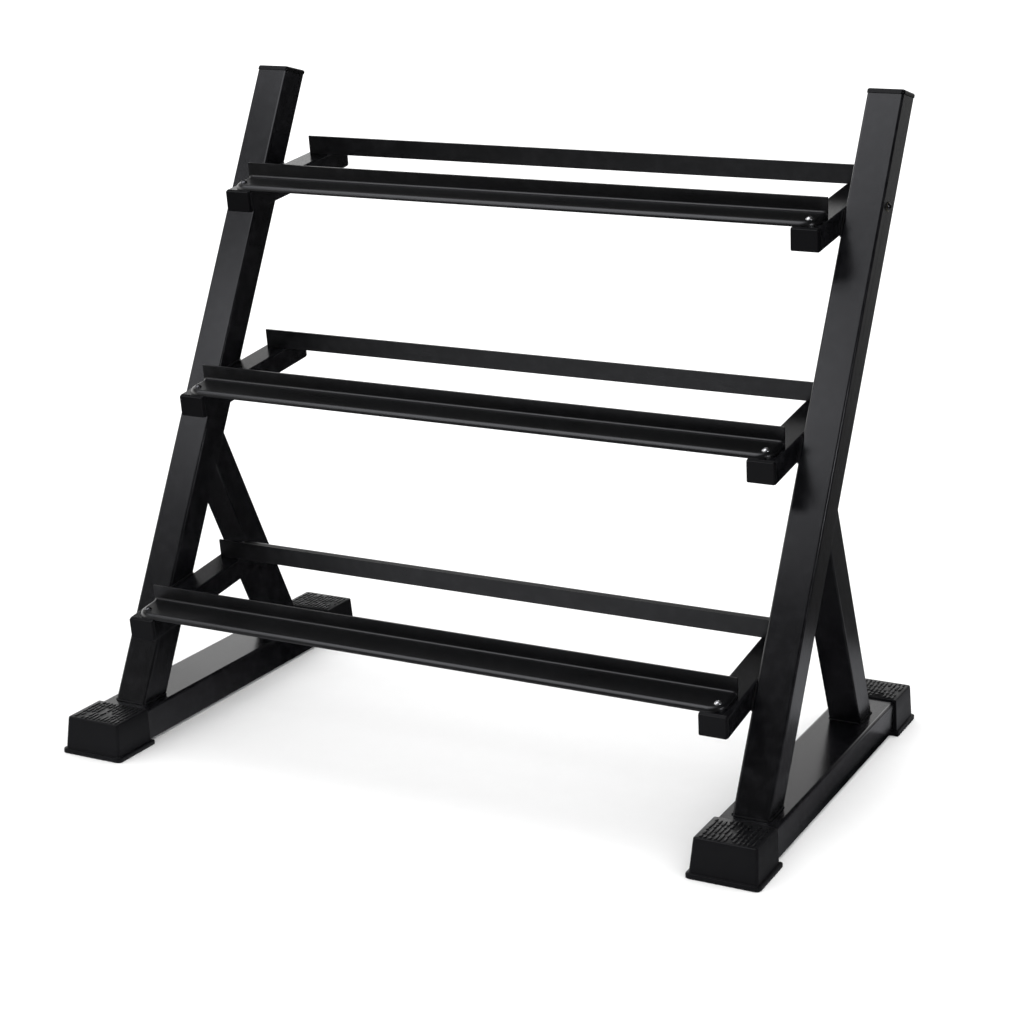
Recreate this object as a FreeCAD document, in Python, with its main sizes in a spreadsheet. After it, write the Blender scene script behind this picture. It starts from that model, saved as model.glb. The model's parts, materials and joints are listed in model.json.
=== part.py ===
"""Three-tier dumbbell rack: two leaning side frames of welded tube carry three pairs of formed rails.

Millimetres. X runs along the shelves, Y from the front to the back, Z up. The origin is on the floor, in the
middle of the rack. The right-hand side frame stands at +X.
"""

import FreeCAD, Part
import math
import os

import Sketcher

DIMENSIONS = (
    ("inner_span", 900),
    ("floor_gap", 3),
    ("base_width", 80),
    ("base_height", 48),
    ("base_length", 641),
    ("base_corner", 4),
    ("upright_side", 50),
    ("upright_length", 969),
    ("upright_corner", 3.5),
    ("upright_tilt", 26.7),
    ("upright_top_slope", 11),
    ("upright_setback", 86),
    ("brace_side", 46),
    ("brace_tilt", 29.1),
    ("brace_setback", 465.6),
    ("arm_width", 40),
    ("arm_height", 32),
    ("arm_corner", 3),
    ("arm_tilt", 7.6),
    ("arm_front", 101),
    ("arm_rear", 177),
    ("tube_wall", 2),
    ("shelf_bottom", 173),
    ("shelf_middle", 499.5),
    ("shelf_top", 807.5),
    ("rail_length", 885),
    ("rail_depth", 54),
    ("rail_sheet", 2.5),
    ("rail_leg_top", 7),
    ("rail_flange_top", 27),
    ("rail_flange_thick", 3),
    ("rail_nose", 6.5),
    ("rail_bend", 3),
    ("rail_corner", 22),
    ("rail_front_lip", 100.5),
    ("rail_rear_lip", 176.5),
    ("rail_bolt_inset", 16.5),
    ("rail_hole", 6.6),
    ("cap_lip", 1),
    ("cap_head", 6),
    ("cap_round", 3),
    ("arm_cap_head", 5),
    ("arm_cap_taper", 16),
    ("arm_cap_round", 1.4),
    ("plug_length", 18),
    ("arm_plug_length", 11),
    ("plug_gap", 0.2),
    ("plug_wall", 2.5),
    ("plug_corner", 3),
    ("foot_height", 53.5),
    ("foot_top_half", 42.5),
    ("foot_bottom_half", 46),
    ("foot_rim_half", 50),
    ("foot_top_nose", 4),
    ("foot_bottom_nose", 8),
    ("foot_rim_nose", 12),
    ("foot_sleeve_length", 69),
    ("foot_rim_length", 74),
    ("foot_rim", 7),
    ("foot_corner", 6),
    ("foot_edge", 2),
    ("bolt_shank", 5.8),
    ("bolt_length", 14),
    ("bolt_head", 10.5),
    ("bolt_head_height", 3.3),
    ("bolt_socket", 4),
    ("bolt_socket_depth", 2),
    ("nut_bore", 6),
    ("nut_body", 9),
    ("nut_flange", 12.5),
    ("nut_flange_thick", 1),
    ("nut_length", 12),
    ("side_screw_height", 821),
    ("side_screw_depth", 22),
    ("weld_bead", 2),
    ("weld_stop", 1.5),
)

SIDES = {"left": -1, "right": 1}
SHELVES = ("bottom", "middle", "top")

AXIS_X, AXIS_Y, AXIS_Z = FreeCAD.Vector(1, 0, 0), FreeCAD.Vector(0, 1, 0), FreeCAD.Vector(0, 0, 1)

ARM_MIDDLE = "Dims.inner_span / 2 - Dims.arm_width / 2"
UPRIGHT_MIDDLE = "Dims.inner_span / 2 + Dims.upright_side / 2"
BRACE_FOOT_RISE = "Dims.brace_side * tan(Dims.brace_tilt * 1 deg)"
BRACE_FOOT_DEPTH = "Dims.brace_side / cos(Dims.brace_tilt * 1 deg)"
UPRIGHT_FOOT_DEPTH = "Dims.upright_side / cos(Dims.upright_tilt * 1 deg)"
UPRIGHT_TOP_CUT = "((Dims.upright_tilt - Dims.upright_top_slope) * 1 deg)"
UPRIGHT_TOP_RISE = f"Dims.upright_side * tan{UPRIGHT_TOP_CUT}"
BRACE_REACH = f"(Dims.brace_setback - Dims.upright_setback - {UPRIGHT_FOOT_DEPTH})"
TILT_SUM = "(tan(Dims.upright_tilt * 1 deg) + tan(Dims.brace_tilt * 1 deg))"
TILT_SPREAD = f"({TILT_SUM} * cos(Dims.brace_tilt * 1 deg))"
BRACE_TOP_FRONT = f"{BRACE_FOOT_RISE} + {BRACE_REACH} / {TILT_SPREAD}"
BRACE_TOP_REAR = f"({BRACE_REACH} + {BRACE_FOOT_DEPTH}) / {TILT_SPREAD}"

doc = FreeCAD.newDocument("dumbbell_rack")
sheet = doc.addObject("Spreadsheet::Sheet", "Dims")
for row, (alias, value) in enumerate(DIMENSIONS, start=1):
    sheet.set(f"A{row}", alias)
    sheet.set(f"B{row}", str(value))
    sheet.setAlias(f"B{row}", alias)
doc.recompute()

nodes = []


def size(expression):
    """The value of an expression written with the spreadsheet's names, such as Dims.arm_width / 2."""
    return float(sheet.evalExpression(expression.replace("Dims.", "")))


def vector(x, y, z):
    return FreeCAD.Vector(x, y, z)


def add_node(feature, label):
    """Gives a finished sub-part its own label and lists it for the export."""
    feature.Label = label
    nodes.append(feature)
    return feature


# ---- Sketches ----


def new_sketch(body, name, plane, height=None):
    """A sketch on one of the body's own origin planes, raised above it by the expression in height."""
    sketch = body.newObject("Sketcher::SketchObject", name)
    origin_plane = next(item for item in body.Origin.OriginFeatures if item.Role == plane)
    sketch.AttachmentSupport = [(origin_plane, "")]
    sketch.MapMode = "FlatFace"
    if height:
        sketch.setExpression("AttachmentOffset.Base.z", height)
    return sketch


def outline(sketch, corners):
    """A closed outline of straight sides. Each corner is a pair of expressions, or 0 for on the axis."""
    points = [vector(size(str(x)), size(str(y)), 0) for x, y in corners]
    first = sketch.GeometryCount
    count = len(points)
    for index, start in enumerate(points):
        sketch.addGeometry(Part.LineSegment(start, points[(index + 1) % count]), False)
    for index in range(count):
        following = first + (index + 1) % count
        sketch.addConstraint(Sketcher.Constraint("Coincident", first + index, 2, following, 1))
    for index, corner in enumerate(corners):
        for kind, axis, expression in (("DistanceX", -2, corner[0]), ("DistanceY", -1, corner[1])):
            if expression == 0:
                sketch.addConstraint(Sketcher.Constraint("PointOnObject", first + index, 1, axis))
                continue
            datum = Sketcher.Constraint(kind, -1, 1, first + index, 1, size(expression))
            sketch.setExpression(f"Constraints[{sketch.addConstraint(datum)}]", expression)


def rounded_rectangle(sketch, width, depth, corner):
    """A rectangle with round corners, centred on the sketch's origin. The sizes are expressions."""
    half_x, half_y, radius = size(width) / 2, size(depth) / 2, size(corner)
    first = sketch.GeometryCount
    quarter = math.pi / 2
    signs = ((1, -1), (1, 1), (-1, 1), (-1, -1))
    centres = [vector(x * (half_x - radius), y * (half_y - radius), 0) for x, y in signs]
    for turn, centre in enumerate(centres):
        start_angle = (turn - 1) * quarter
        circle = Part.Circle(centre, vector(0, 0, 1), radius)
        arc = Part.ArcOfCircle(circle, start_angle, start_angle + quarter)
        sketch.addGeometry(arc, False)
        following = centres[(turn + 1) % 4]
        outward = vector(math.cos(start_angle + quarter), math.sin(start_angle + quarter), 0) * radius
        sketch.addGeometry(Part.LineSegment(centre + outward, following + outward), False)
    for turn in range(4):
        arc, line = first + 2 * turn, first + 2 * turn + 1
        next_arc = first + (2 * turn + 2) % 8
        sketch.addConstraint(Sketcher.Constraint("Tangent", arc, 2, line, 1))
        sketch.addConstraint(Sketcher.Constraint("Tangent", line, 2, next_arc, 1))
        direction = "Vertical" if turn % 2 == 0 else "Horizontal"
        sketch.addConstraint(Sketcher.Constraint(direction, line))
        if turn:
            sketch.addConstraint(Sketcher.Constraint("Equal", first, arc))
    right, top, left, bottom = first + 1, first + 3, first + 5, first + 7
    sketch.addConstraint(Sketcher.Constraint("Symmetric", right, 1, left, 1, -1, 1))
    datums = (
        (Sketcher.Constraint("Radius", first, radius), corner),
        (Sketcher.Constraint("DistanceX", left, 1, right, 1, 2 * half_x), width),
        (Sketcher.Constraint("DistanceY", bottom, 1, top, 1, 2 * half_y), depth),
    )
    for datum, expression in datums:
        sketch.setExpression(f"Constraints[{sketch.addConstraint(datum)}]", expression)


def circle(sketch, diameter, x=0, y=0):
    """A circle centred at two expressions, or on the sketch's axes where one of them is 0."""
    centre = vector(size(str(x)), size(str(y)), 0)
    index = sketch.addGeometry(Part.Circle(centre, vector(0, 0, 1), size(diameter) / 2), False)
    datum = Sketcher.Constraint("Diameter", index, size(diameter))
    sketch.setExpression(f"Constraints[{sketch.addConstraint(datum)}]", diameter)
    for kind, axis, expression in (("DistanceX", -2, x), ("DistanceY", -1, y)):
        if expression == 0:
            sketch.addConstraint(Sketcher.Constraint("PointOnObject", index, 3, axis))
            continue
        place = Sketcher.Constraint(kind, -1, 1, index, 3, size(expression))
        sketch.setExpression(f"Constraints[{sketch.addConstraint(place)}]", expression)


# ---- Features ----


def new_body(name):
    return doc.addObject("PartDesign::Body", name)


def pad(body, sketch, length, both_ways=False, reverse=False, taper="0"):
    feature = body.newObject("PartDesign::Pad", f"{sketch.Name}_pad")
    feature.Profile = sketch
    feature.setExpression("Length", length)
    feature.setExpression("TaperAngle", taper)
    feature.Midplane = both_ways
    feature.Reversed = reverse
    doc.recompute()
    return feature


def pocket(body, sketch, length, both_ways=False, reverse=False):
    """Cuts the sketch's outline out of the body, and stops if the cut takes nothing away."""
    volume = body.Shape.Volume
    feature = body.newObject("PartDesign::Pocket", f"{sketch.Name}_pocket")
    feature.Profile = sketch
    feature.setExpression("Length", length)
    feature.Midplane = both_ways
    feature.Reversed = reverse
    doc.recompute()
    if body.Shape.Volume > volume - 1e-3:
        raise RuntimeError(f"{feature.Name} cuts nothing")
    return feature


def fillet(body, radius, chosen):
    """Rounds the edges of the body's last feature for which chosen(edge) is true."""
    base = body.Tip
    names = [f"Edge{index}" for index, edge in enumerate(base.Shape.Edges, start=1) if chosen(edge)]
    if not names:
        raise RuntimeError(f"no edge to round on {body.Name}")
    feature = body.newObject("PartDesign::Fillet", f"{body.Name}_fillet")
    feature.Base = (base, names)
    feature.setExpression("Radius", radius)
    doc.recompute()
    return feature


def is_at(value, wanted):
    return abs(value - wanted) < 1e-4


def edge_lies(edge, **wanted):
    """Whether the whole edge lies at the given coordinates, such as z=12."""
    box = edge.BoundBox
    limits = {"x": (box.XMin, box.XMax), "y": (box.YMin, box.YMax), "z": (box.ZMin, box.ZMax)}
    return all(is_at(end, value) for axis, value in wanted.items() for end in limits[axis])


# ---- Places ----


def side_frame_x(side):
    """The middle of a side frame's tubes."""
    return SIDES[side] * size(UPRIGHT_MIDDLE)


def base_top():
    return size("Dims.floor_gap + Dims.base_height")


def upright_foot_y():
    """Where the upright's front face meets the top of the base tube."""
    return size("Dims.upright_setback - Dims.base_length / 2")


def about_x(degrees):
    return FreeCAD.Rotation(vector(1, 0, 0), degrees)


def upright_placement(side):
    """The upright's frame: its origin on the front face at the foot, Z along the tube, Y to the back."""
    foot = vector(side_frame_x(side), upright_foot_y(), base_top())
    return FreeCAD.Placement(foot, about_x(-size("Dims.upright_tilt")))


def brace_placement(side):
    """The brace's frame: its origin on the rear face at the foot, Z along the tube, Y to the back."""
    rear = size(f"Dims.brace_setback + {BRACE_FOOT_DEPTH} - Dims.base_length / 2")
    return FreeCAD.Placement(vector(side_frame_x(side), rear, base_top()), about_x(size("Dims.brace_tilt")))


def arm_placement(side, shelf):
    """An arm's frame: Y along the arm to the back, Z square to its top, the origin in the middle of the top
    face where that face meets the front of the upright."""
    along = upright_placement(side).multVec(vector(0, 0, size(f"Dims.shelf_{shelf}")))
    origin = vector(SIDES[side] * size(ARM_MIDDLE), along.y, along.z)
    return FreeCAD.Placement(origin, about_x(size("Dims.arm_tilt")))


def shelf_placement(shelf):
    """The arm's frame moved to the middle of the rack."""
    place = arm_placement("right", shelf)
    return FreeCAD.Placement(vector(0, place.Base.y, place.Base.z), place.Rotation)


def rail_placement(row, shelf):
    """A rail's frame: Y from the lip towards the flange, and the origin at the lip on top of the arms."""
    if row == "front":
        local = FreeCAD.Placement(vector(0, -size("Dims.rail_front_lip"), 0), FreeCAD.Rotation())
    else:
        half_turn = FreeCAD.Rotation(vector(0, 0, 1), 180)
        local = FreeCAD.Placement(vector(0, size("Dims.rail_rear_lip"), 0), half_turn)
    return shelf_placement(shelf).multiply(local)


def rail_bolt_placements(side):
    """One frame for each rail bolt at one end of the rack, on top of the leg, with Z out of the head."""
    places = []
    for shelf in SHELVES:
        for row, turned in (("front", 1), ("rear", -1)):
            across = SIDES[side] * turned * size(ARM_MIDDLE)
            local = vector(across, size("Dims.rail_bolt_inset"), size("Dims.rail_leg_top"))
            places.append(rail_placement(row, shelf).multiply(FreeCAD.Placement(local, FreeCAD.Rotation())))
    return places


def side_screw_placements():
    """One frame for each side screw, on the upright's outer face, with Z out of the head."""
    places = []
    for side, sign in SIDES.items():
        turn = FreeCAD.Rotation(vector(0, 1, 0), 90 * sign)
        spot = vector(sign * size("Dims.upright_side / 2"), size("Dims.side_screw_depth"), 0)
        spot.z = size("Dims.side_screw_height")
        places.append(upright_placement(side).multiply(FreeCAD.Placement(spot, turn)))
    return places


# ---- Tubes ----


def tube_pad(body, width, depth, corner, length):
    """A rectangular tube, centred on the body's Z axis and padded up it."""
    sketch = new_sketch(body, f"{body.Name}_section", "XY_Plane")
    rounded_rectangle(sketch, width, depth, corner)
    inner = (f"{width} - 2 * Dims.tube_wall", f"{depth} - 2 * Dims.tube_wall")
    rounded_rectangle(sketch, *inner, f"{corner} - Dims.tube_wall / 2")
    pad(body, sketch, length)


def base_tube(side):
    """The tube along the floor, padded lengthwise and laid down from front to back."""
    body = new_body(f"base_tube_{side}")
    tube_pad(body, "Dims.base_width", "Dims.base_height", "Dims.base_corner", "Dims.base_length")
    middle_z = size("Dims.floor_gap + Dims.base_height / 2")
    front = vector(side_frame_x(side), -size("Dims.base_length / 2"), middle_z)
    body.Placement = FreeCAD.Placement(front, about_x(-90))
    add_node(body, f"base_tube_{side}")


def upright(side):
    """The leaning front tube, cut level at the foot and aslant at the top, with a nut hole in its side."""
    body = new_body(f"upright_{side}")
    rear_length = f"Dims.upright_length + {UPRIGHT_TOP_RISE}"
    tube_pad(body, "Dims.upright_side", "Dims.upright_side", "Dims.upright_corner", rear_length)
    cut = new_sketch(body, f"upright_{side}_foot", "YZ_Plane")
    half = "Dims.upright_side / 2"
    front = f"-({half})"
    rise = "Dims.upright_side * tan(Dims.upright_tilt * 1 deg)"
    outline(cut, ((front, 0), (half, 0), (half, rise)))
    pocket(body, cut, "2 * Dims.upright_side", both_ways=True)
    top = new_sketch(body, f"upright_{side}_top", "YZ_Plane")
    outline(top, ((front, "Dims.upright_length"), (half, rear_length), (front, rear_length)))
    pocket(body, top, "2 * Dims.upright_side", both_ways=True)
    hole = new_sketch(body, f"upright_{side}_nut_hole", "YZ_Plane")
    circle(hole, "Dims.nut_body", "Dims.side_screw_depth - Dims.upright_side / 2", "Dims.side_screw_height")
    pocket(body, hole, "Dims.upright_side", reverse=SIDES[side] > 0)
    shift = FreeCAD.Placement(vector(0, size(half), 0), FreeCAD.Rotation())
    body.Placement = upright_placement(side).multiply(shift)
    add_node(body, f"upright_{side}")


def rear_brace(side):
    """The back tube, cut level at the foot and cut to lie on the upright's rear face at the top."""
    body = new_body(f"rear_brace_{side}")
    tube_pad(body, "Dims.brace_side", "Dims.brace_side", "Dims.upright_corner", BRACE_TOP_REAR)
    half = "Dims.brace_side / 2"
    foot = new_sketch(body, f"rear_brace_{side}_foot", "YZ_Plane")
    outline(foot, ((f"-({half})", 0), (half, 0), (f"-({half})", BRACE_FOOT_RISE)))
    pocket(body, foot, "2 * Dims.brace_side", both_ways=True)
    head = new_sketch(body, f"rear_brace_{side}_head", "YZ_Plane")
    outline(head, ((f"-({half})", BRACE_TOP_FRONT), (half, BRACE_TOP_REAR), (f"-({half})", BRACE_TOP_REAR)))
    pocket(body, head, "2 * Dims.brace_side", both_ways=True)
    shift = FreeCAD.Placement(vector(0, -size(half), 0), FreeCAD.Rotation())
    body.Placement = brace_placement(side).multiply(shift)
    add_node(body, f"rear_brace_{side}")


def shelf_arm(side, shelf):
    """A short tube along the upright's inner face, with two holes in its top wall for the rails' nuts."""
    body = new_body(f"shelf_arm_{shelf}_{side}")
    tube_pad(body, "Dims.arm_width", "Dims.arm_height", "Dims.arm_corner", "Dims.arm_front + Dims.arm_rear")
    holes = new_sketch(body, f"{body.Name}_nut_holes", "XZ_Plane")
    circle(holes, "Dims.nut_body", 0, "Dims.arm_front - Dims.rail_front_lip + Dims.rail_bolt_inset")
    circle(holes, "Dims.nut_body", 0, "Dims.arm_front + Dims.rail_rear_lip - Dims.rail_bolt_inset")
    pocket(body, holes, "Dims.arm_height", reverse=True)
    front = vector(0, -size("Dims.arm_front"), -size("Dims.arm_height / 2"))
    body.Placement = arm_placement(side, shelf).multiply(FreeCAD.Placement(front, about_x(-90)))
    add_node(body, f"shelf_arm_{shelf}_{side}")


# ---- Rails ----


def leg_outline(sketch, inset="0"):
    """The leg's outline in plan, drawn twice as deep so that only its front corners are inside the rail."""
    sketch.setExpression("AttachmentOffset.Base.y", "Dims.rail_depth")
    rounded_rectangle(sketch, f"Dims.rail_length - 2 * {inset}", f"2 * (Dims.rail_depth - {inset})",
                      f"Dims.rail_corner - {inset}")


def shelf_rail(row, shelf):
    """A formed rail: a leg for the dumbbell head, with a lip turned down around it, and a tall flange."""
    name = f"shelf_rail_{shelf}_{row}"
    body = new_body(name)
    plan = new_sketch(body, f"{name}_plan", "XY_Plane")
    leg_outline(plan)
    pad(body, plan, "Dims.rail_leg_top")
    top = size("Dims.rail_leg_top")
    fillet(body, "Dims.rail_nose", lambda edge: is_at(edge.BoundBox.ZMin, top))
    leg_under = "Dims.rail_leg_top - Dims.rail_sheet"
    hollow = new_sketch(body, f"{name}_hollow", "XY_Plane")
    leg_outline(hollow, "Dims.rail_sheet")
    pocket(body, hollow, leg_under, reverse=True)
    fillet(body, "Dims.rail_nose - Dims.rail_sheet", lambda edge: edge_lies(edge, z=size(leg_under)))
    back = new_sketch(body, f"{name}_back", "XY_Plane")
    half = "Dims.rail_length / 2"
    far = "2 * Dims.rail_depth"
    flange_face = "Dims.rail_depth - Dims.rail_flange_thick"
    outline(back, ((f"-{half}", flange_face), (half, flange_face), (half, far), (f"-{half}", far)))
    pocket(body, back, "Dims.rail_flange_top", reverse=True)
    flange = new_sketch(body, f"{name}_flange", "XY_Plane")
    rear = "Dims.rail_depth"
    outline(flange, ((f"-{half}", flange_face), (half, flange_face), (half, rear), (f"-{half}", rear)))
    pad(body, flange, "Dims.rail_flange_top")
    fillet(body, "Dims.rail_bend", lambda edge: edge_lies(edge, y=size(flange_face), z=top))
    holes = new_sketch(body, f"{name}_bolt_holes", "XY_Plane")
    for sign in ("", "-"):
        circle(holes, "Dims.rail_hole", f"{sign}({ARM_MIDDLE})", "Dims.rail_bolt_inset")
    pocket(body, holes, "Dims.rail_flange_top", reverse=True)
    body.Placement = rail_placement(row, shelf)
    add_node(body, name)


# ---- Plastic caps and rubber feet ----


def upright_cap(side):
    """The cap on the upright's slanted top end: a slab that keeps the tube's outline, over a hollow plug."""
    name = f"upright_cap_{side}"
    body = new_body(name)
    bore = "2 * (Dims.tube_wall + Dims.plug_gap)"
    inner = "2 * (Dims.tube_wall + Dims.plug_gap + Dims.plug_wall)"
    half, rise = "Dims.upright_side / 2", UPRIGHT_TOP_RISE
    plug = new_sketch(body, f"{name}_plug", "XY_Plane")
    for gap, corner in ((bore, "Dims.plug_corner"), (inner, "Dims.plug_corner / 2")):
        side_length = f"Dims.upright_side - {gap}"
        rounded_rectangle(plug, side_length, side_length, corner)
    pad(body, plug, "2 * Dims.plug_length", both_ways=True)
    trim = new_sketch(body, f"{name}_trim", "YZ_Plane")
    front, ceiling = f"-({half})", "2 * Dims.plug_length"
    outline(trim, ((front, f"-({rise}) / 2"), (half, f"({rise}) / 2"), (half, ceiling), (front, ceiling)))
    pocket(body, trim, "2 * Dims.upright_side", both_ways=True)
    reach = f"({half} + Dims.cap_lip)"
    drop = f"{reach} * tan{UPRIGHT_TOP_CUT}"
    height = f"Dims.cap_head / cos{UPRIGHT_TOP_CUT}"
    head = new_sketch(body, f"{name}_head", "YZ_Plane")
    outline(head, ((f"-{reach}", f"-{drop}"), (reach, drop), (reach, f"{drop} + {height}"),
                   (f"-{reach}", f"{height} - {drop}")))
    pad(body, head, f"2 * {reach}", both_ways=True)
    fillet(body, "Dims.upright_corner + Dims.cap_lip",
           lambda edge: is_at(abs(edge.BoundBox.Center.x), size(reach)) and is_at(edge.BoundBox.YLength, 0))
    slope = size(f"tan{UPRIGHT_TOP_CUT}")
    fillet(body, "Dims.cap_round",
           lambda edge: all(is_at(spot.Z - spot.Y * slope, size(height)) for spot in edge.Vertexes))
    middle = size(f"Dims.upright_length + {rise} / 2")
    end = vector(0, size(half), middle)
    body.Placement = upright_placement(side).multiply(FreeCAD.Placement(end, FreeCAD.Rotation()))
    add_node(body, name)


def arm_cap(side, shelf, end):
    """The cap on an end of a shelf arm: a head that narrows to a rounded rim, over a hollow plug."""
    name = f"arm_cap_{shelf}_{side}_{end}"
    width, depth = "Dims.arm_width", "Dims.arm_height"
    body = new_body(name)
    head = new_sketch(body, f"{name}_head", "XY_Plane")
    rounded_rectangle(head, width, depth, "Dims.arm_corner")
    pad(body, head, "Dims.arm_cap_head", taper="-Dims.arm_cap_taper")
    fillet(body, "Dims.arm_cap_round", lambda edge: is_at(edge.BoundBox.ZMin, size("Dims.arm_cap_head")))
    bore = "2 * (Dims.tube_wall + Dims.plug_gap)"
    inner = "2 * (Dims.tube_wall + Dims.plug_gap + Dims.plug_wall)"
    plug = new_sketch(body, f"{name}_plug", "XY_Plane")
    for gap, corner in ((bore, "Dims.plug_corner"), (inner, "Dims.plug_corner / 2")):
        rounded_rectangle(plug, f"{width} - {gap}", f"{depth} - {gap}", corner)
    pad(body, plug, "Dims.arm_plug_length", reverse=True)
    along = -size("Dims.arm_front") if end == "front" else size("Dims.arm_rear")
    turn = about_x(90 if end == "front" else -90)
    local = FreeCAD.Placement(vector(0, along, -size("Dims.arm_height / 2")), turn)
    body.Placement = arm_placement(side, shelf).multiply(local)
    add_node(body, name)


def is_rim_edge(edge):
    """Whether the edge runs along the top of the foot's rim, outside the sleeve."""
    half, nose = size("Dims.foot_bottom_half"), size("Dims.foot_bottom_nose")
    length = size("Dims.foot_sleeve_length")
    spots = [vertex.Point for vertex in edge.Vertexes]
    outside = all(abs(spot.x) > half or spot.y < -nose or spot.y > length for spot in spots)
    return outside and edge_lies(edge, z=size("Dims.foot_rim"))


def foot(end, side):
    """A rubber foot over a base tube's end: a tapered sleeve on a wide rim, with Y to the rack's middle."""
    name = f"rubber_foot_{end}_{side}"
    body = new_body(name)
    height, length = "Dims.foot_height", "Dims.foot_sleeve_length"
    profile = new_sketch(body, f"{name}_profile", "YZ_Plane")
    nose = ("-Dims.foot_bottom_nose", "-Dims.foot_top_nose")
    outline(profile, ((nose[0], 0), (length, 0), (length, height), (nose[1], height)))
    pad(body, profile, "2 * Dims.foot_bottom_half", both_ways=True)
    taper = new_sketch(body, f"{name}_taper", "XZ_Plane")
    for sign in ("", "-"):
        low, high = f"{sign}Dims.foot_bottom_half", f"{sign}Dims.foot_top_half"
        outline(taper, ((low, 0), (low, height), (high, height)))
    pocket(body, taper, "4 * Dims.foot_sleeve_length", both_ways=True)
    top = size(height)
    fillet(body, "Dims.foot_corner", lambda edge: is_at(edge.BoundBox.ZLength, top))
    fillet(body, "Dims.foot_edge", lambda edge: is_at(edge.BoundBox.ZMin, top))
    rim = new_sketch(body, f"{name}_rim", "XY_Plane")
    nose, length = "Dims.foot_rim_nose", "Dims.foot_rim_length"
    rim.setExpression("AttachmentOffset.Base.y", f"({length} - {nose}) / 2")
    corner = "Dims.foot_corner + Dims.foot_edge"
    rounded_rectangle(rim, "2 * Dims.foot_rim_half", f"{length} + {nose}", corner)
    pad(body, rim, "Dims.foot_rim")
    fillet(body, "Dims.foot_edge", is_rim_edge)
    tube = new_sketch(body, f"{name}_socket", "XZ_Plane")
    tube.setExpression("AttachmentOffset.Base.y", "Dims.floor_gap + Dims.base_height / 2")
    rounded_rectangle(tube, "Dims.base_width", "Dims.base_height", "Dims.base_corner")
    pocket(body, tube, "2 * Dims.foot_rim_length")
    front = end == "front"
    turn = FreeCAD.Rotation(vector(0, 0, 1), 0 if front else 180)
    spot = vector(side_frame_x(side), size("Dims.base_length / 2") * (-1 if front else 1), 0)
    body.Placement = FreeCAD.Placement(spot, turn)
    add_node(body, name)


# ---- Fasteners ----


def solid_at(kind, name, local, place, **sizes):
    """A Part primitive at a local position in the frame given, with its sizes bound to the spreadsheet."""
    primitive = doc.addObject(f"Part::{kind}", name)
    for key, expression in sizes.items():
        primitive.setExpression(key, expression)
    primitive.Placement = place.multiply(FreeCAD.Placement(vector(*local), FreeCAD.Rotation()))
    return primitive


def combined(kind, name, base, tool):
    feature = doc.addObject(f"Part::{kind}", name)
    feature.Base = base
    feature.Tool = tool
    return feature


def button_bolt(name, place):
    """A button-head bolt with a socket in its domed head; Z points out of the head, from under it."""
    shank_bottom = (0, 0, -size("Dims.bolt_length"))
    shank = solid_at("Cylinder", f"{name}_shank", shank_bottom, place,
                     Radius="Dims.bolt_shank / 2", Height="Dims.bolt_length + Dims.bolt_head_height / 2")
    skirt = solid_at("Cylinder", f"{name}_skirt", (0, 0, 0), place,
                     Radius="Dims.bolt_head / 2", Height="Dims.bolt_head_height")
    dome = "Dims.bolt_head * Dims.bolt_head / (8 * Dims.bolt_head_height) + Dims.bolt_head_height / 2"
    ball_centre = (0, 0, size(f"Dims.bolt_head_height - ({dome})"))
    ball = solid_at("Sphere", f"{name}_ball", ball_centre, place, Radius=dome)
    head = combined("Common", f"{name}_head", skirt, ball)
    blank = combined("Fuse", f"{name}_blank", head, shank)
    socket_bottom = (0, 0, size("Dims.bolt_head_height - Dims.bolt_socket_depth"))
    socket = solid_at("Prism", f"{name}_socket", socket_bottom, place,
                      Circumradius="Dims.bolt_socket / sqrt(3)", Height="Dims.bolt_head_height")
    socket.Polygon = 6
    return combined("Cut", name, blank, socket)


def rivet_nut(name, place):
    """A threaded insert: a thin flange on the wall and a sleeve through it; Z points out of the wall."""
    sleeve = solid_at("Cylinder", f"{name}_sleeve", (0, 0, -size("Dims.nut_length")), place,
                      Radius="Dims.nut_body / 2", Height="Dims.nut_length")
    flange = solid_at("Cylinder", f"{name}_flange", (0, 0, 0), place,
                      Radius="Dims.nut_flange / 2", Height="Dims.nut_flange_thick")
    blank = combined("Fuse", f"{name}_blank", sleeve, flange)
    bore = solid_at("Cylinder", f"{name}_bore", (0, 0, -2 * size("Dims.nut_length")), place,
                    Radius="Dims.nut_bore / 2", Height="4 * Dims.nut_length")
    return combined("Cut", name, blank, bore)


def group(label, members):
    """One node holding several separate solids."""
    compound = doc.addObject("Part::Compound", label)
    compound.Links = members
    add_node(compound, label)


def along_normal(place, distance):
    return place.multiply(FreeCAD.Placement(vector(0, 0, distance), FreeCAD.Rotation()))


def rail_fasteners():
    """The bolts through the rails' legs, and the inserts in the arms' top walls under them."""
    for side in SIDES:
        heads = rail_bolt_placements(side)
        bolts = [button_bolt(f"rail_bolt_{side}_{index}", place) for index, place in enumerate(heads)]
        group(f"rail_bolts_{side}", bolts)
        walls = [along_normal(place, -size("Dims.rail_leg_top")) for place in heads]
        nuts = [rivet_nut(f"rail_insert_{side}_{index}", place) for index, place in enumerate(walls)]
        group(f"rail_inserts_{side}", nuts)


def side_fasteners():
    """The screw in each upright's outer face near the top shelf, with its insert in the wall."""
    walls = side_screw_placements()
    screws = [
        button_bolt(f"side_screw_{index}", along_normal(place, size("Dims.nut_flange_thick")))
        for index, place in enumerate(walls)
    ]
    group("side_screws", screws)
    inserts = [rivet_nut(f"side_insert_{index}", place) for index, place in enumerate(walls)]
    group("side_screw_inserts", inserts)


# ---- Welds ----


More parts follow.
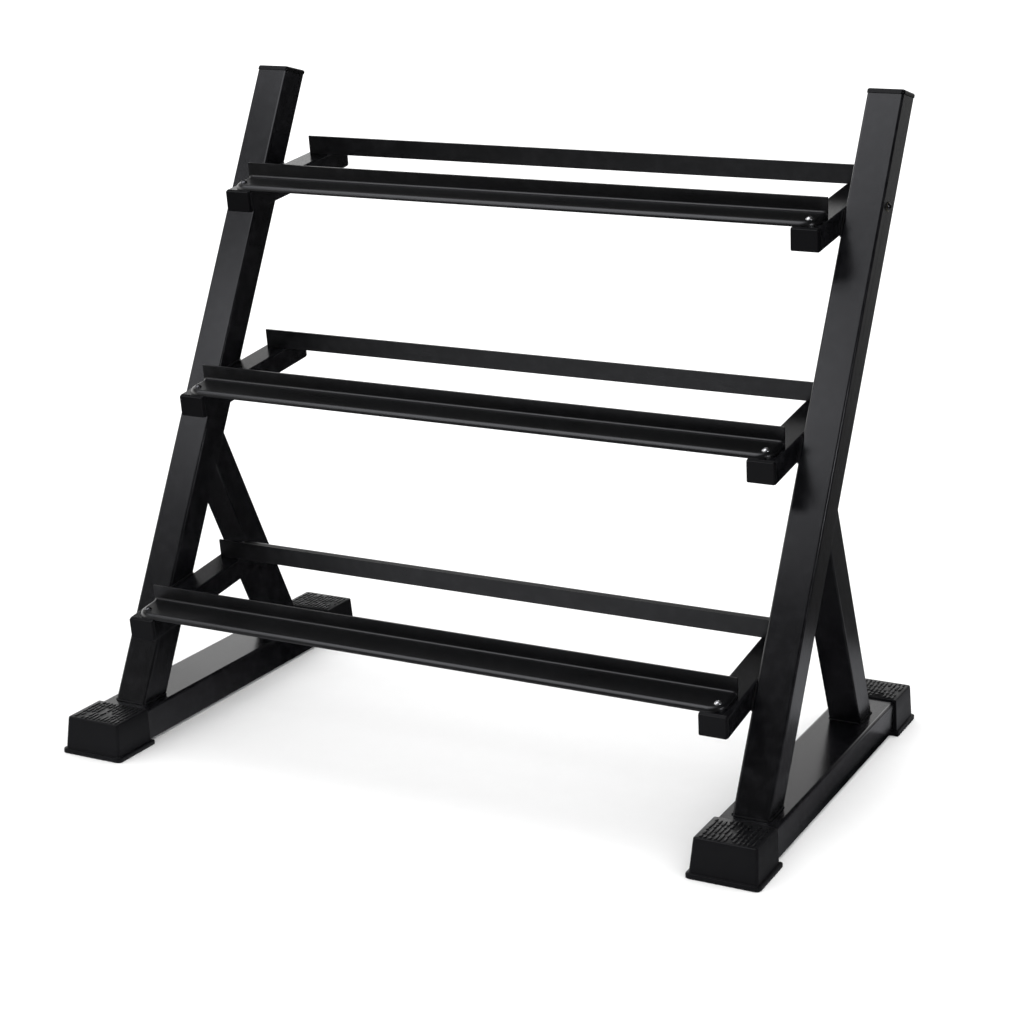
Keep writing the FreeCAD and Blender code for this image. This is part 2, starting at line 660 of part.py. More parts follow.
def bead(name, place, middle, along, start, angle, length):
    """A weld bead in a corner: a sector of a cylinder whose axis is the corner line. It is centred on
    middle, opens from the direction in start, turns about along, and stops short at both ends."""
    sector = doc.addObject("Part::Cylinder", name)
    sector.setExpression("Radius", "Dims.weld_bead")
    sector.setExpression("Height", f"{length} - 2 * Dims.weld_stop")
    sector.setExpression("Angle", f"{angle} * 1 deg")
    turn = FreeCAD.Rotation(start, along.cross(start), along, "ZXY")
    end = middle - along * (size(length) / 2 - size("Dims.weld_stop"))
    sector.Placement = place.multiply(FreeCAD.Placement(end, turn))
    return sector


def foot_beads(name, place, tilt, width, depth):
    """Four beads around a tube that stands on the base tube and leans back by tilt."""
    lean = math.radians(size(tilt))
    face = vector(0, math.sin(lean), math.cos(lean))
    rear = size(depth)
    beads = [
        bead(f"{name}_front", place, vector(0, 0, 0), AXIS_X, face, f"(90 + {tilt})", width),
        bead(f"{name}_rear", place, vector(0, rear, 0), AXIS_X, AXIS_Y, f"(90 - {tilt})", width),
    ]
    for sign in SIDES.values():
        spot = vector(sign * size(width) / 2, rear / 2, 0)
        beads.append(bead(f"{name}_side_{sign + 1}", place, spot, AXIS_Y * sign, AXIS_Z, "90", depth))
    return beads


def brace_head_beads(side):
    """Two beads where the brace meets the upright's rear face."""
    place = upright_placement(side)
    angle = "(Dims.upright_tilt + Dims.brace_tilt)"
    meeting = math.radians(size(angle))
    brace = vector(0, math.sin(meeting), -math.cos(meeting))
    beads = []
    for name, height, start, opening in (
        ("upper", BRACE_TOP_REAR, brace, f"(180 - {angle})"),
        ("lower", f"({BRACE_TOP_FRONT} - ({BRACE_FOOT_RISE}))", AXIS_Z * -1, angle),
    ):
        rise = size(f"({height}) * cos(Dims.brace_tilt * 1 deg) / cos(Dims.upright_tilt * 1 deg)")
        rise += size("Dims.upright_side * tan(Dims.upright_tilt * 1 deg)")
        spot = vector(0, size("Dims.upright_side"), rise)
        name = f"weld_brace_{name}_{side}"
        beads.append(bead(name, place, spot, AXIS_X, start, opening, "Dims.brace_side"))
    return beads


def arm_beads(side, shelf):
    """Four beads around the patch where a shelf arm lies against the upright's inner face."""
    sign = SIDES[side]
    name = f"weld_arm_{shelf}_{side}"
    slope = size("tan((Dims.upright_tilt + Dims.arm_tilt) * 1 deg)")
    stretch = "/ cos((Dims.upright_tilt + Dims.arm_tilt) * 1 deg)"
    across, up = f"Dims.upright_side {stretch}", f"Dims.arm_height {stretch}"
    arm, wall = arm_placement(side, shelf), upright_placement(side)
    beads = []
    for index, (depth, start) in enumerate(((0, AXIS_Z), (size("Dims.arm_height"), AXIS_Z * -1))):
        spot = vector(sign * size("Dims.arm_width / 2"), size(across) / 2 - depth * slope, -depth)
        along = AXIS_Y * (-sign if depth == 0 else sign)
        beads.append(bead(f"{name}_level_{index}", arm, spot, along, start, "90", across))
    for index, (depth, start) in enumerate(((0, AXIS_Y * -1), (size("Dims.upright_side"), AXIS_Y))):
        height = size(f"Dims.shelf_{shelf}") + depth * slope - size(up) / 2
        spot = vector(-sign * size("Dims.upright_side / 2"), depth, height)
        along = AXIS_Z * (sign if depth == 0 else -sign)
        beads.append(bead(f"{name}_upright_{index}", wall, spot, along, start, "90", up))
    return beads


def weld_beads(side):
    """All the beads of one side frame, as one node of separate solids."""
    x, z = side_frame_x(side), base_top()
    foot_place = FreeCAD.Placement(vector(x, upright_foot_y(), z), FreeCAD.Rotation())
    brace_place = FreeCAD.Placement(vector(x, size("Dims.brace_setback - Dims.base_length / 2"), z),
                                    FreeCAD.Rotation())
    beads = foot_beads(f"weld_upright_foot_{side}", foot_place, "Dims.upright_tilt", "Dims.upright_side",
                       UPRIGHT_FOOT_DEPTH)
    beads += foot_beads(f"weld_brace_foot_{side}", brace_place, "-Dims.brace_tilt", "Dims.brace_side",
                        BRACE_FOOT_DEPTH)
    beads += brace_head_beads(side)
    for shelf in SHELVES:
        beads += arm_beads(side, shelf)
    group(f"weld_beads_{side}", beads)


# ---- The rack ----

for side_name in SIDES:
    base_tube(side_name)
    upright(side_name)
    rear_brace(side_name)
    upright_cap(side_name)
    for shelf_name in SHELVES:
        shelf_arm(side_name, shelf_name)
        for end_name in ("front", "rear"):
            arm_cap(side_name, shelf_name, end_name)
    for end_name in ("front", "rear"):
        foot(end_name, side_name)
for shelf_name in SHELVES:
    for row_name in ("front", "rear"):
        shelf_rail(row_name, shelf_name)
rail_fasteners()
side_fasteners()
for side_name in SIDES:
    weld_beads(side_name)
doc.recompute()

for item in doc.Objects:
    if {"Invalid", "Error"} & set(item.State):
        raise RuntimeError(f"{item.Label} failed: {item.State}")
for node in nodes:
    if node.Shape.isNull() or not node.Shape.isValid():
        raise RuntimeError(f"{node.Label} has no valid shape")

os.makedirs("parts", exist_ok=True)
for node in nodes:
    node.Shape.exportStep(f"parts/{node.Label}.step")
    box = node.Shape.BoundBox
    print(f"{node.Label:28s} {len(node.Shape.Solids)} solids {node.Shape.Volume / 1000:9.1f} cm3 "
          f"x {box.XMin:7.1f}..{box.XMax:7.1f} y {box.YMin:7.1f}..{box.YMax:7.1f} "
          f"z {box.ZMin:6.1f}..{box.ZMax:6.1f}")
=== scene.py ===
import json
import math
import random

import bmesh
import bpy
from mathutils import Matrix, Vector


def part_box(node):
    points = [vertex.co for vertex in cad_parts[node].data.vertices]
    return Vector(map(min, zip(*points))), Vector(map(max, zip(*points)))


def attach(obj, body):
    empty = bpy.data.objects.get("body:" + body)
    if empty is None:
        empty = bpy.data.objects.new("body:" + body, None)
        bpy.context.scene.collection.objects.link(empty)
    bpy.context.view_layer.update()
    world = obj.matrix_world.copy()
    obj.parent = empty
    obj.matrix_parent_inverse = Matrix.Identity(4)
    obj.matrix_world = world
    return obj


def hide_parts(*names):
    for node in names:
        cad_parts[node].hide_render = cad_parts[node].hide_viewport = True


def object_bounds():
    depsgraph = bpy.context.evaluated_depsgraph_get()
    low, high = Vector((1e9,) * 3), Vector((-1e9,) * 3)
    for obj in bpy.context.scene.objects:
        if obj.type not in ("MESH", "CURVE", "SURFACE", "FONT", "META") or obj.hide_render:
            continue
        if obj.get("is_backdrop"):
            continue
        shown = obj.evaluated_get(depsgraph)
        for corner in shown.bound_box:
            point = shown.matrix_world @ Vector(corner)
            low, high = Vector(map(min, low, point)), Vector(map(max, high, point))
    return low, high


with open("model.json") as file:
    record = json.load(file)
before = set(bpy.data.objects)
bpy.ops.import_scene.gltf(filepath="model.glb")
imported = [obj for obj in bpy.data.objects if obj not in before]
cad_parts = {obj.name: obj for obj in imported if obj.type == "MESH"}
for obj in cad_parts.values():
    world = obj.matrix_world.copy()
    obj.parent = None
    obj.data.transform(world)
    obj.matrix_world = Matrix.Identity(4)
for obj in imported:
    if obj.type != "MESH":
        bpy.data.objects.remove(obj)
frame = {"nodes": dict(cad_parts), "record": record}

MM = 0.001
CAD_LOW, CAD_HIGH = (Vector(corner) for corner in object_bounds())
NODES = frame["nodes"]
SLOT_OF = {part["node"]: part["material_slot"] for part in frame["record"]["subparts"]}
SCENE = bpy.context.scene


# ---------------------------------------------------------------- shader graphs

# Numbers of a Mix node's sockets when it mixes colours.
MIX_FACTOR, MIX_FIRST, MIX_SECOND, MIX_RESULT = 0, 6, 7, 2


class Shader:
    """The node tree of a material or a world, with short calls for adding and joining nodes."""

    def __init__(self, owner):
        owner.use_nodes = True
        self.owner = owner
        self.tree = owner.node_tree
        self.surface = self.tree.nodes.get("Principled BSDF")

    def node(self, kind, **inputs):
        node = self.tree.nodes.new(f"ShaderNode{kind}")
        for key, value in inputs.items():
            self.feed(node, key, value)
        return node

    def feed(self, node, key, value):
        """Sets an input, by name or number, to a number, a colour or another node's output."""
        socket = node.inputs[key.replace("_", " ")] if isinstance(key, str) else node.inputs[key]
        if isinstance(value, bpy.types.NodeSocket):
            self.tree.links.new(value, socket)
        else:
            socket.default_value = value

    def set(self, **inputs):
        for key, value in inputs.items():
            self.feed(self.surface, key, value)

    def position(self, stretch=(1, 1, 1)):
        """The place on the object in metres; what is drawn with it is drawn out by stretch."""
        mapping = self.node("Mapping", Vector=self.node("TexCoord").outputs["Object"])
        mapping.vector_type = "TEXTURE"
        mapping.inputs["Scale"].default_value = stretch
        return mapping.outputs["Vector"]

    def noise(self, scale, detail=3, roughness=0.5, stretch=(1, 1, 1)):
        return self.node("TexNoise", Vector=self.position(stretch), Scale=scale, Detail=detail,
                         Roughness=roughness).outputs["Fac"]

    def ramp(self, value, *stops):
        """A ramp of greys; each stop is (place, grey)."""
        ramp = self.node("ValToRGB", Fac=value)
        elements = ramp.color_ramp.elements
        while len(elements) < len(stops):
            elements.new(0.5)
        for element, (place, grey) in zip(elements, stops):
            element.position = place
            element.color = (grey, grey, grey, 1)
        return ramp.outputs["Color"]

    def mix(self, factor, first, second):
        """A mix of two colours, each a triple or another node's output."""
        node = self.tree.nodes.new("ShaderNodeMix")
        node.data_type = "RGBA"
        self.feed(node, MIX_FACTOR, factor)
        for index, colour in ((MIX_FIRST, first), (MIX_SECOND, second)):
            if not isinstance(colour, bpy.types.NodeSocket):
                colour = (*colour, 1)
            self.feed(node, index, colour)
        return node.outputs[MIX_RESULT]

    def math(self, operation, *values):
        node = self.tree.nodes.new("ShaderNodeMath")
        node.operation = operation
        for index, value in enumerate(values):
            self.feed(node, index, value)
        return node.outputs[0]

    def bump(self, height, strength, distance, below=None):
        node = self.node("Bump", Height=height, Strength=strength, Distance=distance)
        if below is not None:
            self.feed(node, "Normal", below)
        return node.outputs["Normal"]

    def edges(self):
        """Near 1 along the outer edges of the mesh."""
        pointiness = self.node("NewGeometry").outputs["Pointiness"]
        return self.node("MapRange", Value=pointiness, From_Min=0.5, From_Max=0.56).outputs["Result"]


def material(name):
    return Shader(bpy.data.materials.new(name))


# ---------------------------------------------------------------- materials

DUST = (0.02, 0.02, 0.021)
MOULDED_SPECULAR = 0.22


def shade(colour, factor, lift=0):
    return [min(1, channel * factor + lift) for channel in colour]


def paint(name, colour, rough, specular=0.5, streaks=None):
    """Satin powder coat with a fine orange peel and cloudy gloss, and a painted highlight that
    lightens the colour along the edges in patches.

    With streaks, the coat also shows faint marks drawn out by that much along each axis.
    """
    s = material(name)
    clouds = s.noise(9, detail=4, roughness=0.6)
    peel = s.noise(620, detail=2)
    grain = s.noise(2600, detail=1)
    base = s.mix(s.ramp(clouds, (0.3, 0), (0.7, 1)), shade(colour, 0.8), shade(colour, 1.2))
    # Painted highlight: the colour is lightened along the mesh's edges, in patches, in place of the
    # light that rounded edges catch.
    painted_edge_highlight = s.math("MULTIPLY", s.edges(), s.ramp(s.noise(70, detail=5), (0.45, 0), (0.7, 0.6)))
    base = s.mix(painted_edge_highlight, base, shade(colour, 2.5, lift=0.008))
    roughness = s.math("ADD", s.math("MULTIPLY_ADD", clouds, 0.12, rough - 0.06),
                       s.math("MULTIPLY_ADD", grain, 0.06, -0.03))
    normal = s.bump(peel, 0.12, 0.0006)
    normal = s.bump(grain, 0.06, 0.0002, below=normal)
    if streaks:
        drawn = s.noise(260, detail=4, roughness=0.6, stretch=streaks)
        roughness = s.math("ADD", roughness, s.math("MULTIPLY_ADD", drawn, 0.12, -0.06))
        normal = s.bump(drawn, 0.03, 0.0005, below=normal)
    s.set(Base_Color=base, Roughness=roughness, Normal=normal, Specular_IOR_Level=specular)
    return s.owner


def plastic(name, colour, rough):
    """Moulded plastic with a fine spark-eroded grain."""
    s = material(name)
    grain = s.noise(1900, detail=3, roughness=0.7)
    clouds = s.noise(30, detail=3)
    base = s.mix(clouds, shade(colour, 0.8), shade(colour, 1.2))
    roughness = s.math("MULTIPLY_ADD", grain, 0.16, rough - 0.08)
    normal = s.bump(grain, 0.22, 0.0003)
    s.set(Base_Color=base, Roughness=roughness, Normal=normal, Specular_IOR_Level=MOULDED_SPECULAR)
    return s.owner


def rubber(name, colour, rough):
    """Moulded rubber: dull, faintly mottled, with dust in the hollows of its texture."""
    s = material(name)
    grain = s.noise(1300, detail=4, roughness=0.65)
    clouds = s.noise(45, detail=5, roughness=0.6)
    base = s.mix(clouds, shade(colour, 0.75), shade(colour, 1.3))
    dust = s.math("MULTIPLY", s.ramp(grain, (0.35, 1), (0.55, 0)), 0.12)
    base = s.mix(dust, base, DUST)
    roughness = s.math("MULTIPLY_ADD", clouds, 0.14, rough - 0.07)
    normal = s.bump(grain, 0.25, 0.0004)
    s.set(Base_Color=base, Roughness=roughness, Normal=normal, Specular_IOR_Level=MOULDED_SPECULAR)
    return s.owner


def metal(name, colour, rough):
    """Plated or blackened steel with fine turning marks."""
    s = material(name)
    marks = s.noise(1900, detail=3, roughness=0.7)
    clouds = s.noise(250, detail=4)
    base = s.mix(clouds, shade(colour, 0.82), shade(colour, 1.12))
    roughness = s.math("MULTIPLY_ADD", marks, 0.2, rough - 0.1)
    s.set(Base_Color=base, Metallic=1.0, Roughness=roughness, Normal=s.bump(marks, 0.12, 0.0001))
    return s.owner


FRAME_BLACK = (0.0029, 0.0029, 0.0037)
RAIL_BLACK = (0.0022, 0.0022, 0.0029)
CAP_BLACK = (0.0020, 0.0020, 0.0027)
RUBBER_BLACK = (0.0030, 0.0030, 0.0040)
ZINC = (0.9, 0.9, 0.89)
BLACK_OXIDE = (0.13, 0.13, 0.135)
YELLOW_ZINC = (0.62, 0.58, 0.45)
ALONG_THE_RAIL = (70, 1, 1)
MATERIALS = {
    "frame_paint": paint("frame_paint", FRAME_BLACK, 0.22),
    "rail_paint": paint("rail_paint", RAIL_BLACK, 0.31, specular=0.75, streaks=ALONG_THE_RAIL),
    "weld_paint": paint("weld_paint", FRAME_BLACK, 0.5, specular=0.25),
    "cap_plastic": plastic("cap_plastic", CAP_BLACK, 0.34),
    "foot_rubber": rubber("foot_rubber", RUBBER_BLACK, 0.38),
    "bolt_zinc": metal("bolt_zinc", ZINC, 0.34),
    "bolt_black": metal("bolt_black", BLACK_OXIDE, 0.32),
    "insert_steel": metal("insert_steel", YELLOW_ZINC, 0.35),
}


# ---------------------------------------------------------------- the CAD nodes

MERGE_DISTANCE = 0.001 * MM
EDGE_WIDTHS = {  # millimetres, for the nodes whose names start so
    "base_tube": 0.5,
    "upright_": 0.5,
    "rear_brace": 0.5,
    "shelf_arm": 0.5,
    "shelf_rail": 0.6,
    "arm_cap": 0.4,
    "rail_bolts": 0.25,
    "side_screws": 0.25,
}


def bevelled(obj, width, segments, angle):
    """Rounds the edges of an object that are sharper than this angle, with a modifier."""
    bevel = obj.modifiers.new("bevel", "BEVEL")
    bevel.width = width * MM
    bevel.segments = segments
    bevel.limit_method = "ANGLE"
    bevel.angle_limit = math.radians(angle)
    return bevel


def soften(obj, width):
    """Rounds a node's sharp edges with modifiers; its mesh is left as it is."""
    weld = obj.modifiers.new("weld", "WELD")
    weld.merge_threshold = MERGE_DISTANCE
    bevel = bevelled(obj, width, segments=3, angle=32)
    bevel.miter_outer = "MITER_ARC"
    bevel.harden_normals = True


for node_name, node in NODES.items():
    node.data.materials.clear()
    node.data.materials.append(MATERIALS[SLOT_OF[node_name]])
    widths = [width for start, width in EDGE_WIDTHS.items() if node_name.startswith(start)]
    if widths:
        soften(node, widths[0])


# ---------------------------------------------------------------- mesh helpers

def new_object(name, mesh, slot=None):
    """With a slot, a smooth piece that is fixed to the rack; without one, a plain object."""
    obj = bpy.data.objects.new(name, mesh)
    SCENE.collection.objects.link(obj)
    if slot:
        mesh.materials.append(MATERIALS[slot])
        for polygon in mesh.polygons:
            polygon.use_smooth = True
        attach(obj, "root")
    return obj


def loft(bm, rings):
    """Skins rings of the same number of points, and closes the first and the last one."""
    loops = [[bm.verts.new(point) for point in ring] for ring in rings]
    count = len(loops[0])
    for low, high in zip(loops, loops[1:]):
        for index in range(count):
            after = (index + 1) % count
            bm.faces.new((low[index], low[after], high[after], high[index]))
    bm.faces.new(reversed(loops[0]))
    bm.faces.new(loops[-1])


def on_arc(x, y, radius, angle, z):
    return Vector((x + radius * math.cos(angle), y + radius * math.sin(angle), z))


def rounded_outline(half, front, rear, front_corner, rear_corner, z, steps, spans):
    """A ring around a rectangle with round corners, seen from above.

    Each corner has this many steps, and the sides along Y and along X have this many even spans.
    """
    corners = (
        (half - rear_corner, rear - rear_corner, rear_corner, 0),
        (rear_corner - half, rear - rear_corner, rear_corner, 1),
        (front_corner - half, front + front_corner, front_corner, 2),
        (half - front_corner, front + front_corner, front_corner, 3),
    )
    ring = []
    for index, (x, y, radius, quarter) in enumerate(corners):
        arc = [
            on_arc(x, y, radius, (quarter + step / steps) * math.pi / 2, z)
            for step in range(steps + 1)
        ]
        ring += arc
        next_x, next_y, next_radius, next_quarter = corners[(index + 1) % 4]
        following = on_arc(next_x, next_y, next_radius, next_quarter * math.pi / 2, z)
        count = spans[(index + 1) % 2]
        ring += [arc[-1].lerp(following, step / count) for step in range(1, count)]
    return ring


def smooth_by_angle(mesh, degrees):
    """Marks the edges sharper than this, so that only the gentle ones are shaded smooth."""
    bm = bmesh.new()
    bm.from_mesh(mesh)
    for edge in bm.edges:
        edge.smooth = len(edge.link_faces) == 2 and edge.calc_face_angle(0) < math.radians(degrees)
    bm.to_mesh(mesh)
    bm.free()


# ---------------------------------------------------------------- rubber feet

# All in millimetres, from the front end of the base tube, at the middle of its width.
SOCKET_HALF, SOCKET_CORNER = 40.05, 4
SOCKET_LOW, SOCKET_HIGH = 2.95, 51.05
SOCKET_START, SOCKET_END = 0.02, 200
FOOT_RINGS = (  # height, half width, front, rear, front corner, rear corner
    (0.0, 49.2, -11.2, 73.2, 6.5, 2.2),
    (0.8, 50.0, -12.0, 74.0, 7.0, 2.6),
    (5.2, 50.0, -12.0, 74.0, 7.0, 2.6),
    (6.4, 49.5, -11.5, 73.6, 6.8, 2.4),
    (7.0, 48.2, -10.3, 72.6, 6.0, 2.0),
    (7.1, 46.4, -8.3, 69.2, 4.0, 1.0),
    (8.2, 45.7, -7.8, 69.0, 3.5, 0.8),
    (20.0, 44.9, -6.9, 69.0, 3.5, 0.8),
    (36.0, 43.8, -5.5, 69.0, 3.5, 0.8),
    (51.2, 42.7, -4.2, 69.0, 3.5, 0.8),
    (52.6, 42.3, -3.8, 68.8, 3.3, 0.8),
    (53.3, 41.3, -2.9, 68.5, 2.8, 0.6),
    (53.5, 39.8, -1.4, 68.2, 4.2, 0.5),
)
FOOT_MIDDLE = 31
CORNER_STEPS, SIDE_SPANS = 7, (44, 50)
SCALLOP_PITCH, SCALLOP_DEPTH = 9.5, 1.3
SCALLOP_HIGHER = 0.6  # how much of the scallop the next ring up keeps
TREAD_PITCH, TREAD_WIDTH, TREAD_HEIGHT = 6.3, 3.7, 0.9
TREAD_COLUMNS = 12
TREAD_LENGTHS = (6, 8, 11, 15, 20)
TREAD_LAST_START, TREAD_END = 61, 66
TREAD_MISSING = 0.07  # the chance that a bar is left out
BAR_RINGS = (  # height above the foot's top, and how far the bar's outline is drawn in there
    (-0.3, -0.1),
    (0.55 * TREAD_HEIGHT, 0.0),
    (0.9 * TREAD_HEIGHT, 0.3),
    (TREAD_HEIGHT, 0.8),
)
BAR_END_POINTS = 7


def scalloped(ring):
    """The sole's edge, drawn in and out a little along the way around it."""
    middle = Vector((0, FOOT_MIDDLE, ring[0].z))
    travelled = 0
    wavy = []
    for before, point in zip([ring[-1]] + ring[:-1], ring):
        travelled += (point - before).length
        depth = SCALLOP_DEPTH * (0.5 + 0.5 * math.cos(travelled / SCALLOP_PITCH * 2 * math.pi))
        inward = (middle - point).normalized()
        wavy.append(point + inward * depth)
    return wavy


def tread_bar(bm, x, start, end, top, width):
    """One raised bar of the tread, sunk a little into the foot's top."""
    radius = width / 2
    rings = []
    for height, shrink in BAR_RINGS:
        ring = []
        for centre_y, half_turn in ((end - radius, 0), (start + radius, math.pi)):
            for step in range(BAR_END_POINTS):
                angle = math.pi * step / (BAR_END_POINTS - 1) + half_turn
                ring.append(on_arc(x, centre_y, radius - shrink, angle, top + height))
        rings.append(ring)
    loft(bm, rings)


def sleeve_mesh(name):
    """The tapered sleeve on its wide rim, still solid."""
    bm = bmesh.new()
    rings = [
        rounded_outline(half, front, rear, front_corner, rear_corner, z, CORNER_STEPS, SIDE_SPANS)
        for z, half, front, rear, front_corner, rear_corner in FOOT_RINGS
    ]
    rings[0] = scalloped(rings[0])
    wavy_ring = scalloped(rings[1])
    rings[1] = [point.lerp(wavy, SCALLOP_HIGHER) for point, wavy in zip(rings[1], wavy_ring)]
    loft(bm, rings)
    mesh = bpy.data.meshes.new(name)
    bm.to_mesh(mesh)
    bm.free()
    return mesh


def socket_mesh(name):
    """The space the base tube takes up in the sleeve."""
    bm = bmesh.new()
    middle = (SOCKET_LOW + SOCKET_HIGH) / 2
    reach = (SOCKET_HIGH - SOCKET_LOW) / 2
    corner = SOCKET_CORNER
    section = rounded_outline(SOCKET_HALF, -reach, reach, corner, corner, 0, steps=5, spans=(1, 1))
    loft(bm, [
        [Vector((point.x, y, middle + point.y)) for point in section]
        for y in (SOCKET_END, SOCKET_START)
    ])
    bmesh.ops.recalc_face_normals(bm, faces=bm.faces)
    mesh = bpy.data.meshes.new(name)
    bm.to_mesh(mesh)
    bm.free()
    return mesh


def cut_out(body, hole):
    """A new mesh: the first one with the second cut out of it."""
    block = new_object(body.name, body)
    tool = new_object(hole.name, hole)
    cut = block.modifiers.new("cut", "BOOLEAN")
    cut.object = tool
    cut.solver = "EXACT"
    evaluated = block.evaluated_get(bpy.context.evaluated_depsgraph_get())
    mesh = bpy.data.meshes.new_from_object(evaluated)
    for scrap in (tool, block):
        bpy.data.objects.remove(scrap)
    return mesh


def add_tread(bm, seed):
    """Rows of short raised bars of mixed length along the foot's top."""
    rng = random.Random(seed)
    top = FOOT_RINGS[-1][0]
    for column in range(TREAD_COLUMNS):
        x = (column - (TREAD_COLUMNS - 1) / 2) * TREAD_PITCH
        y = rng.uniform(-0.4, 3)
        while y < TREAD_LAST_START:
            length = rng.choice(TREAD_LENGTHS) * rng.uniform(0.9, 1.1)
            end = min(y + length, TREAD_END)
            if rng.random() > TREAD_MISSING:
                bar_x = x + rng.uniform(-0.6, 0.6)
                width = TREAD_WIDTH * rng.uniform(0.8, 1.25)
                tread_bar(bm, bar_x, y, end, top, width)
            y = end + rng.uniform(1.6, 2.8)


def foot_mesh(name, seed):
    """A tapered sleeve on a wide rim, with a socket for the base tube and a tread on its top."""
    mesh = cut_out(sleeve_mesh(f"{name}_block"), socket_mesh(f"{name}_socket"))
    bm = bmesh.new()
    bm.from_mesh(mesh)
    add_tread(bm, seed)
    bm.to_mesh(mesh)
    bm.free()
    return mesh


def rubber_foot(end, side, seed):
    """The foot on one end of a base tube; the rear ones are turned round."""
    name = f"rubber_foot_{end}_{side}"
    tube_low, tube_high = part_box(f"base_tube_{side}")
    x = (tube_low.x + tube_high.x) / 2
    y, turn = (tube_low.y, 0) if end == "front" else (tube_high.y, math.pi)
    mesh = foot_mesh(name, seed)
    place = Matrix.Translation((x, y, 0)) @ Matrix.Rotation(turn, 4, "Z") @ Matrix.Scale(MM, 4)
    mesh.transform(place)
    foot = new_object(f"moulded_foot_{end}_{side}", mesh, "foot_rubber")
    bevelled(foot, 0.5, segments=2, angle=60)
    smooth_by_angle(mesh, 38)
    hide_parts(name)


FOOT_SEEDS = (
    ("front", "left", 40),
    ("front", "right", 41),
    ("rear", "left", 42),
    ("rear", "right", 43),
)
for end, side, seed in FOOT_SEEDS:
    rubber_foot(end, side, seed)


# ---------------------------------------------------------------- weld beads

RIPPLE_PITCH, RIPPLE_BOW = 2.1 * MM, 0.8 * MM
RIPPLE_DEPTH, RIPPLE_ROUGHNESS = 0.26, 0.015  # parts of the bead's radius
STATION_PITCH, LEAST_STATIONS = 0.35 * MM, 12
BEAD_FAN_STEPS = 8
BEAD_SINK = 0.1 * MM
BEAD_TAPER_LENGTH = 3 * MM


def islands(bm):
    """The separate bodies of a mesh, each as a list of its vertices, in the mesh's own order."""
    seen = set()
    for start in bm.verts:
        if start in seen:
            continue
        seen.add(start)
        stack = [start]
        found = []
        while stack:
            vert = stack.pop()
            found.append(vert)
            for edge in vert.link_edges:
                other = edge.other_vert(vert)
                if other not in seen:
                    seen.add(other)
                    stack.append(other)
        yield found


def fan_angle(arm, toward, across):
    return math.atan2(arm.dot(across), arm.dot(toward))


def rippled_bead(bm, verts, rng):
    """Draws one bead again over its plain CAD wedge, as a row of overlapping crescents.

    The wedge's two ends are alike: an apex in the joint's corner, and a rim around it.
    """
    points = [vert.co.copy() for vert in verts]
    pairs = [(a, b) for a in points for b in points]
    first, last = max(pairs, key=lambda pair: (pair[0] - pair[1]).length)
    ends = [[p for p in points if (p - far).length > (p - near).length]
            for near, far in ((first, last), (last, first))]
    middles = [sum(group, Vector()) / len(group) for group in ends]
    along = (middles[1] - middles[0]).normalized()
    length = (middles[1] - middles[0]).length
    outline = ends[0]

    def spread(apex):
        reaches = [(p - apex).length for p in outline if p is not apex]
        return max(reaches) - min(reaches)

    apex = min(outline, key=spread)
    rim = [p - apex for p in outline if p is not apex]
    toward = sum(rim, Vector()).normalized()
    across = along.cross(toward)
    rim.sort(key=lambda arm: fan_angle(arm, toward, across))
    low, high = (fan_angle(arm, toward, across) for arm in (rim[0], rim[-1]))
    radius = rim[0].length
    stations = max(LEAST_STATIONS, int(length / STATION_PITCH))
    phase = rng.uniform(0, 1)
    rings = []
    for station in range(stations + 1):
        travel = length * station / stations
        taper = min(1, 0.25 + 1.4 * min(travel, length - travel) / BEAD_TAPER_LENGTH)
        centre = apex + along * travel
        ring = [centre - toward * BEAD_SINK]
        for step in range(BEAD_FAN_STEPS + 1):
            angle = low + (high - low) * step / BEAD_FAN_STEPS
            bow = RIPPLE_BOW * math.cos((angle - (low + high) / 2) * 1.2)
            beat = ((travel - bow) / RIPPLE_PITCH + phase) % 1
            ripple = 1 - RIPPLE_DEPTH * (1 - beat) ** 2
            height = radius * taper * (ripple + rng.uniform(-RIPPLE_ROUGHNESS, RIPPLE_ROUGHNESS))
            way = toward * math.cos(angle) + across * math.sin(angle)
            ring.append(centre + way * height)
        rings.append(ring)
    loft(bm, rings)


def weld_seams(side, seed):
    """All the beads of one side frame."""
    plain = bmesh.new()
    plain.from_mesh(NODES[f"weld_beads_{side}"].data)
    bmesh.ops.remove_doubles(plain, verts=plain.verts, dist=MERGE_DISTANCE)
    rng = random.Random(seed)
    bm = bmesh.new()
    for verts in islands(plain):
        rippled_bead(bm, verts, rng)
    plain.free()
    bmesh.ops.recalc_face_normals(bm, faces=bm.faces)
    mesh = bpy.data.meshes.new(f"weld_seams_{side}")
    bm.to_mesh(mesh)
    bm.free()
    seams = new_object(f"weld_seams_{side}", mesh, "weld_paint")
    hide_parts(f"weld_beads_{side}")


for side, seed in (("left", 5), ("right", 6)):
    weld_seams(side, seed)


# ---------------------------------------------------------------- the studio

FLOOR_PALE, FLOOR_PALER = (0.93, 0.93, 0.93), (0.95, 0.95, 0.95)
FLOOR_SIZE = 40
CARD_LIFT = 0.4 * MM
CARD_GLOW = (0.94, 0.95, 1.0, 1.0)


def floor_material():
    """White seamless paper without any gloss."""
    s = material("studio_floor")
    fine = s.noise(35, detail=4)
    base = s.mix(fine, FLOOR_PALE, FLOOR_PALER)
    s.set(Base_Color=base, Roughness=0.9, Normal=s.bump(fine, 0.05, 0.001), Specular_IOR_Level=0.0)
    return s.owner


